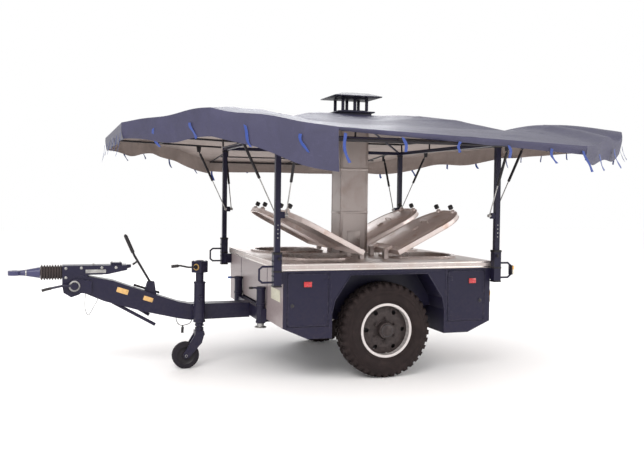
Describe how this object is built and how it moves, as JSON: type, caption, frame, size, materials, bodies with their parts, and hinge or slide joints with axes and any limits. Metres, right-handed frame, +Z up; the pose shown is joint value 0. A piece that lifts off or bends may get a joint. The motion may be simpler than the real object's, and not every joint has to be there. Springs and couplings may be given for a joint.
{
  "type": "field kitchen trailer",
  "caption": "Single-axle trailer with hinged-lid kettles in a stainless worktop around a square flue, under a folding canopy on corner posts, with a height-adjusting towing head.",
  "frame": {"origin": "bottom centre of the whole trailer's box, on the ground", "axes": "+X towards the rear, -X along the drawbar to the towing eye, -Y the trailer's left side, +Z up"},
  "size_m": [6.26, 5.47, 2.963],
  "materials": {
    "navy_paint": "satin paint",
    "stainless": "brushed",
    "rubber": "matt",
    "tyre": "matt",
    "wheel_paint": "satin paint",
    "bare_steel": "worn",
    "black_paint": "satin paint",
    "black_plastic": "matt",
    "tarpaulin": "coated cloth"
  },
  "bodies": {
    "chassis": {"axle_beam": "bare_steel", "chassis_frame": "navy_paint", "body_tub": "navy_paint", "worktop": "stainless", "kettle_front_left": "stainless", "kettle_front_right": "stainless", "kettle_rear_left": "stainless", "kettle_rear_right": "stainless", "chimney_duct": "stainless", "chimney_cap": "black_paint", "canopy_frame": "navy_paint", "canopy_roof": "tarpaulin", "drawbar_arm": "navy_paint", "jockey_tube": "navy_paint", "brake_cable": "black_plastic", "light_lead": "black_plastic", "lead_plug": "black_plastic"},
    "wheel_left": {"tyre_left": "tyre", "rim_left": "wheel_paint"},
    "wheel_right": {"tyre_right": "tyre", "rim_right": "wheel_paint"},
    "coupling_head": {"coupling_head": "navy_paint", "shaft_bellows": "rubber"},
    "tow_shaft": {"tow_shaft": "bare_steel"},
    "joint_handle": {"joint_handle": "black_paint"},
    "brake_lever": {"brake_lever": "black_paint"},
    "jockey_leg": {"jockey_leg": "bare_steel"},
    "jockey_fork": {"jockey_fork": "navy_paint"},
    "jockey_wheel": {"jockey_wheel": "rubber"},
    "jockey_crank": {"jockey_crank": "black_paint"},
    "steady_left": {"steady_leg_left": "bare_steel"},
    "steady_right": {"steady_leg_right": "bare_steel"},
    "door_front_left": {"door_front_left": "navy_paint"},
    "door_front_right": {"door_front_right": "navy_paint"},
    "door_rear_left": {"door_rear_left": "navy_paint"},
    "door_rear_right": {"door_rear_right": "navy_paint"},
    "lid_front_left": {"lid_front_left": "stainless"},
    "lid_front_right": {"lid_front_right": "stainless"},
    "lid_rear_left": {"lid_rear_left": "stainless"},
    "lid_rear_right": {"lid_rear_right": "stainless"},
    "flap_left": {"flap_left": "tarpaulin"},
    "strut_rod_left_1": {"strut_rod_left_1": "bare_steel"},
    "strut_body_left_1": {"strut_body_left_1": "black_paint"},
    "strut_rod_left_2": {"strut_rod_left_2": "bare_steel"},
    "strut_body_left_2": {"strut_body_left_2": "black_paint"},
    "flap_right": {"flap_right": "tarpaulin"},
    "strut_rod_right_1": {"strut_rod_right_1": "bare_steel"},
    "strut_body_right_1": {"strut_body_right_1": "black_paint"},
    "strut_rod_right_2": {"strut_rod_right_2": "bare_steel"},
    "strut_body_right_2": {"strut_body_right_2": "black_paint"},
    "flap_front": {"flap_front": "tarpaulin"},
    "strut_rod_front_1": {"strut_rod_front_1": "bare_steel"},
    "strut_body_front_1": {"strut_body_front_1": "black_paint"},
    "strut_rod_front_2": {"strut_rod_front_2": "bare_steel"},
    "strut_body_front_2": {"strut_body_front_2": "black_paint"},
    "flap_rear": {"flap_rear": "tarpaulin"},
    "strut_rod_rear_1": {"strut_rod_rear_1": "bare_steel"},
    "strut_body_rear_1": {"strut_body_rear_1": "black_paint"},
    "strut_rod_rear_2": {"strut_rod_rear_2": "bare_steel"},
    "strut_body_rear_2": {"strut_body_rear_2": "black_paint"}
  },
  "joints": [
    {"name": "wheel_left_spin", "type": "hinge", "parent": "chassis", "child": "wheel_left", "pos_m": [0.47, -1.02, 0.479], "axis": [0, 1, 0], "continuous": true},
    {"name": "wheel_right_spin", "type": "hinge", "parent": "chassis", "child": "wheel_right", "pos_m": [0.47, 1.02, 0.479], "axis": [0, 1, 0], "continuous": true},
    {"name": "head_tilt", "type": "hinge", "parent": "chassis", "child": "coupling_head", "pos_m": [-2.497, 0, 0.879], "axis": [0, 1, 0], "range_deg": [-30, 0]},
    {"name": "shaft_slide", "type": "slide", "parent": "coupling_head", "child": "tow_shaft", "axis": [1, 0, 0], "range_m": [0, 0.08], "deforming": ["shaft_bellows"]},
    {"name": "joint_clamp_turn", "type": "hinge", "parent": "chassis", "child": "joint_handle", "pos_m": [-2.497, 0, 0.879], "axis": [0, 1, 0], "range_deg": [-90, 90]},
    {"name": "brake_lever_pull", "type": "hinge", "parent": "chassis", "child": "brake_lever", "pos_m": [-1.73, 0, 0.88], "axis": [0, 1, 0], "range_deg": [0, 55]},
    {"name": "jockey_crank_turn", "type": "hinge", "parent": "chassis", "child": "jockey_crank", "pos_m": [-1.28743, -0.20243, 1.0595], "axis": [-0.7071, -0.7071, 0], "range_deg": [-2160, 216]},
    {"name": "jockey_slide", "type": "slide", "parent": "chassis", "child": "jockey_leg", "axis": [0, 0, 1], "range_m": [-0.1205, 0.0125]},
    {"name": "jockey_swivel", "type": "hinge", "parent": "jockey_leg", "child": "jockey_fork", "pos_m": [-1.245, -0.16, 0.395], "axis": [0, 0, 1], "continuous": true},
    {"name": "jockey_wheel_spin", "type": "hinge", "parent": "jockey_fork", "child": "jockey_wheel", "pos_m": [-1.387, -0.16, 0.14], "axis": [0, 1, 0], "continuous": true},
    {"name": "steady_left_slide", "type": "slide", "parent": "chassis", "child": "steady_left", "axis": [0, 0, 1], "range_m": [-0.28, 0]},
    {"name": "steady_right_slide", "type": "slide", "parent": "chassis", "child": "steady_right", "axis": [0, 0, 1], "range_m": [-0.28, 0]},
    {"name": "door_front_left_hinge", "type": "hinge", "parent": "chassis", "child": "door_front_left", "pos_m": [-0.17, -1.195, 0.56], "axis": [0, 0, 1], "range_deg": [0, 100]},
    {"name": "door_front_right_hinge", "type": "hinge", "parent": "chassis", "child": "door_front_right", "pos_m": [-0.17, 1.195, 0.56], "axis": [0, 0, -1], "range_deg": [0, 100]},
    {"name": "door_rear_left_hinge", "type": "hinge", "parent": "chassis", "child": "door_rear_left", "pos_m": [1.11, -1.195, 0.56], "axis": [0, 0, -1], "range_deg": [0, 100]},
    {"name": "door_rear_right_hinge", "type": "hinge", "parent": "chassis", "child": "door_rear_right", "pos_m": [1.11, 1.195, 0.56], "axis": [0, 0, 1], "range_deg": [0, 100]},
    {"name": "lid_front_left_hinge", "type": "hinge", "parent": "chassis", "child": "lid_front_left", "pos_m": [0.348, -0.51, 1.25], "axis": [0, 1, 0], "range_deg": [-27, 0]},
    {"name": "lid_front_right_hinge", "type": "hinge", "parent": "chassis", "child": "lid_front_right", "pos_m": [0.348, 0.51, 1.25], "axis": [0, 1, 0], "range_deg": [-27, 0]},
    {"name": "lid_rear_left_hinge", "type": "hinge", "parent": "chassis", "child": "lid_rear_left", "pos_m": [0.618, -0.51, 1.25], "axis": [0, -1, 0], "range_deg": [-27, 0]},
    {"name": "lid_rear_right_hinge", "type": "hinge", "parent": "chassis", "child": "lid_rear_right", "pos_m": [0.618, 0.51, 1.25], "axis": [0, -1, 0], "range_deg": [-27, 0]},
    {"name": "flap_left_fold", "type": "hinge", "parent": "chassis", "child": "flap_left", "pos_m": [0.47, -1.288, 2.383], "axis": [-1, 0, 0], "range_deg": [-65, 0]},
    {"name": "strut_left_1_lean", "type": "hinge", "parent": "chassis", "child": "strut_rod_left_1", "pos_m": [-0.62, -1.243, 1.635], "axis": [-1, 0, 0], "range_deg": [0, 15.05]},
    {"name": "strut_left_1_stroke", "type": "slide", "parent": "strut_rod_left_1", "child": "strut_body_left_1", "axis": [0, -0.4483, 0.8939], "range_m": [-0.288, 0]},
    {"name": "strut_left_2_lean", "type": "hinge", "parent": "chassis", "child": "strut_rod_left_2", "pos_m": [1.543, -1.243, 1.635], "axis": [-1, 0, 0], "range_deg": [0, 15.05]},
    {"name": "strut_left_2_stroke", "type": "slide", "parent": "strut_rod_left_2", "child": "strut_body_left_2", "axis": [0, -0.4483, 0.8939], "range_m": [-0.288, 0]},
    {"name": "flap_right_fold", "type": "hinge", "parent": "chassis", "child": "flap_right", "pos_m": [0.47, 1.288, 2.383], "axis": [1, 0, 0], "range_deg": [-65, 0]},
    {"name": "strut_right_1_lean", "type": "hinge", "parent": "chassis", "child": "strut_rod_right_1", "pos_m": [-0.62, 1.243, 1.635], "axis": [1, 0, 0], "range_deg": [0, 15.05]},
    {"name": "strut_right_1_stroke", "type": "slide", "parent": "strut_rod_right_1", "child": "strut_body_right_1", "axis": [0, 0.4483, 0.8939], "range_m": [-0.288, 0]},
    {"name": "strut_right_2_lean", "type": "hinge", "parent": "chassis", "child": "strut_rod_right_2", "pos_m": [1.543, 1.243, 1.635], "axis": [1, 0, 0], "range_deg": [0, 15.05]},
    {"name": "strut_right_2_stroke", "type": "slide", "parent": "strut_rod_right_2", "child": "strut_body_right_2", "axis": [0, 0.4483, 0.8939], "range_m": [-0.288, 0]},
    {"name": "flap_front_fold", "type": "hinge", "parent": "chassis", "child": "flap_front", "pos_m": [-0.75, 0, 2.383], "axis": [0, 1, 0], "range_deg": [-55, 0]},
    {"name": "strut_front_1_lean", "type": "hinge", "parent": "chassis", "child": "strut_rod_front_1", "pos_m": [-0.705, -1.185, 1.635], "axis": [0, 1, 0], "range_deg": [0, 5.93]},
    {"name": "strut_front_1_stroke", "type": "slide", "parent": "strut_rod_front_1", "child": "strut_body_front_1", "axis": [-0.4299, 0, 0.9029], "range_m": [-0.2657, 0]},
    {"name": "strut_front_2_lean", "type": "hinge", "parent": "chassis", "child": "strut_rod_front_2", "pos_m": [-0.705, 1.185, 1.635], "axis": [0, 1, 0], "range_deg": [0, 5.93]},
    {"name": "strut_front_2_stroke", "type": "slide", "parent": "strut_rod_front_2", "child": "strut_body_front_2", "axis": [-0.4299, 0, 0.9029], "range_m": [-0.2657, 0]},
    {"name": "flap_rear_fold", "type": "hinge", "parent": "chassis", "child": "flap_rear", "pos_m": [1.673, 0, 2.383], "axis": [0, -1, 0], "range_deg": [-70, 0]},
    {"name": "strut_rear_1_lean", "type": "hinge", "parent": "chassis", "child": "strut_rod_rear_1", "pos_m": [1.628, -1.185, 1.635], "axis": [0, -1, 0], "range_deg": [0, 11.07]},
    {"name": "strut_rear_1_stroke", "type": "slide", "parent": "strut_rod_rear_1", "child": "strut_body_rear_1", "axis": [0.4219, 0, 0.9066], "range_m": [-0.3155, 0]},
    {"name": "strut_rear_2_lean", "type": "hinge", "parent": "chassis", "child": "strut_rod_rear_2", "pos_m": [1.628, 1.185, 1.635], "axis": [0, -1, 0], "range_deg": [0, 11.07]},
    {"name": "strut_rear_2_stroke", "type": "slide", "parent": "strut_rod_rear_2", "child": "strut_body_rear_2", "axis": [0.4219, 0, 0.9066], "range_m": [-0.3155, 0]}
  ],
  "couplings": [
    {"joint": "jockey_slide", "follows": "jockey_crank_turn", "m_per_rad": 0.0031831},
    {"joint": "strut_left_1_lean", "follows": "flap_left_fold", "ratio": -0.22689},
    {"joint": "strut_left_1_stroke", "follows": "flap_left_fold", "m_per_rad": 0.25212},
    {"joint": "strut_left_2_lean", "follows": "flap_left_fold", "ratio": -0.22689},
    {"joint": "strut_left_2_stroke", "follows": "flap_left_fold", "m_per_rad": 0.25212},
    {"joint": "strut_right_1_lean", "follows": "flap_right_fold", "ratio": -0.22689},
    {"joint": "strut_right_1_stroke", "follows": "flap_right_fold", "m_per_rad": 0.25212},
    {"joint": "strut_right_2_lean", "follows": "flap_right_fold", "ratio": -0.22689},
    {"joint": "strut_right_2_stroke", "follows": "flap_right_fold", "m_per_rad": 0.25212},
    {"joint": "strut_front_1_lean", "follows": "flap_front_fold", "ratio": -0.10238},
    {"joint": "strut_front_1_stroke", "follows": "flap_front_fold", "m_per_rad": 0.2747},
    {"joint": "strut_front_2_lean", "follows": "flap_front_fold", "ratio": -0.10238},
    {"joint": "strut_front_2_stroke", "follows": "flap_front_fold", "m_per_rad": 0.2747},
    {"joint": "strut_rear_1_lean", "follows": "flap_rear_fold", "ratio": -0.15386},
    {"joint": "strut_rear_1_stroke", "follows": "flap_rear_fold", "m_per_rad": 0.25659},
    {"joint": "strut_rear_2_lean", "follows": "flap_rear_fold", "ratio": -0.15386},
    {"joint": "strut_rear_2_stroke", "follows": "flap_rear_fold", "m_per_rad": 0.25659}
  ]
}
